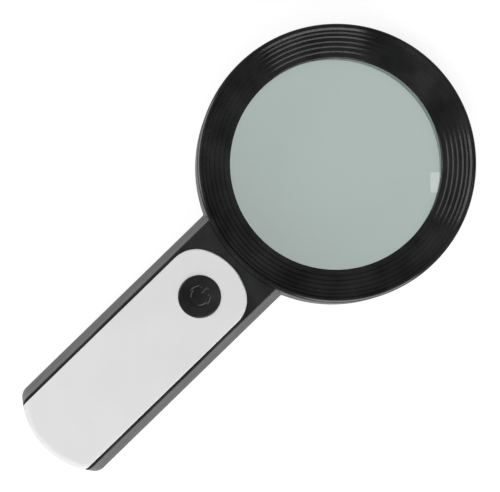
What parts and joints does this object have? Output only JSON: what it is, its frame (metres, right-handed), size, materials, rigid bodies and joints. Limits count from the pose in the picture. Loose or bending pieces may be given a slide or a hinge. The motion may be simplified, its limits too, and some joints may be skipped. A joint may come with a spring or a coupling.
{
  "type": "low vision magnifier",
  "caption": "Hand-held reading magnifier: round lens in a stepped black ring with lamps facing the page, white-panelled handle with a push button, and a sliding battery door.",
  "frame": {"origin": "on the lens axis, in the plane that the back of the ring and handle rest on", "axes": "+Z along the lens axis towards the reader (the front, with the button); +Y from the handle towards the ring; +X to the right, seen from the front with the ring up"},
  "size_m": [0.1098, 0.2148, 0.0215],
  "materials": {
    "black_abs": "semi-gloss moulded ABS",
    "white_panel": "satin moulded ABS",
    "white_reflector": "bright white moulded ABS",
    "black_button": "smooth moulded ABS with an engraved outline",
    "lens_glass": "polished, with a faint reflection",
    "lamp_epoxy": "clear epoxy over a yellow phosphor",
    "circuit_board": "green solder mask on glass epoxy",
    "chip_black": "moulded resistor",
    "switch_nylon": "matte moulded nylon",
    "plunger_white": "smooth moulded acetal",
    "spring_steel": "plated spring wire",
    "contact_nickel": "nickel-plated strip and spring wire",
    "red_pvc": "smooth insulation",
    "black_pvc": "smooth insulation",
    "screw_steel": "zinc-plated",
    "cell_jacket": "printed sleeve with bare metal ends"
  },
  "bodies": {
    "root": {"front_shell": "black_abs", "rear_shell": "black_abs", "lens_bezel": "black_abs", "lens": "lens_glass", "lamp_reflector": "white_reflector", "lamp_board": "circuit_board", "lamps": "lamp_epoxy", "lamp_resistors": "chip_black", "front_panel": "white_panel", "switch_body": "switch_nylon", "switch_spring": "spring_steel", "switch_board": "circuit_board", "board_resistors": "chip_black", "contact_positive": "contact_nickel", "contact_link_ring": "contact_nickel", "contact_link_tip": "contact_nickel", "contact_negative": "contact_nickel", "lamp_lead_red": "red_pvc", "lamp_lead_black": "black_pvc", "cell_lead_red": "red_pvc", "cell_lead_black": "black_pvc", "shell_screws": "screw_steel", "ring_screws": "screw_steel", "board_screws": "screw_steel", "cell_1": "cell_jacket", "cell_2": "cell_jacket", "cell_3": "cell_jacket"},
    "button": {"power_button": "black_button", "switch_plunger": "plunger_white"},
    "door": {"battery_door": "black_abs"}
  },
  "joints": [
    {"name": "button_press", "type": "slide", "parent": "root", "child": "button", "axis": [0, 0, -1], "range_m": [0, 0.0012], "stiffness_N_per_m": 1500, "springref_m": -0.0005, "deforming": ["switch_spring"]},
    {"name": "door_slide", "type": "slide", "parent": "root", "child": "door", "axis": [0, -1, 0], "range_m": [0, 0.078]}
  ]
}
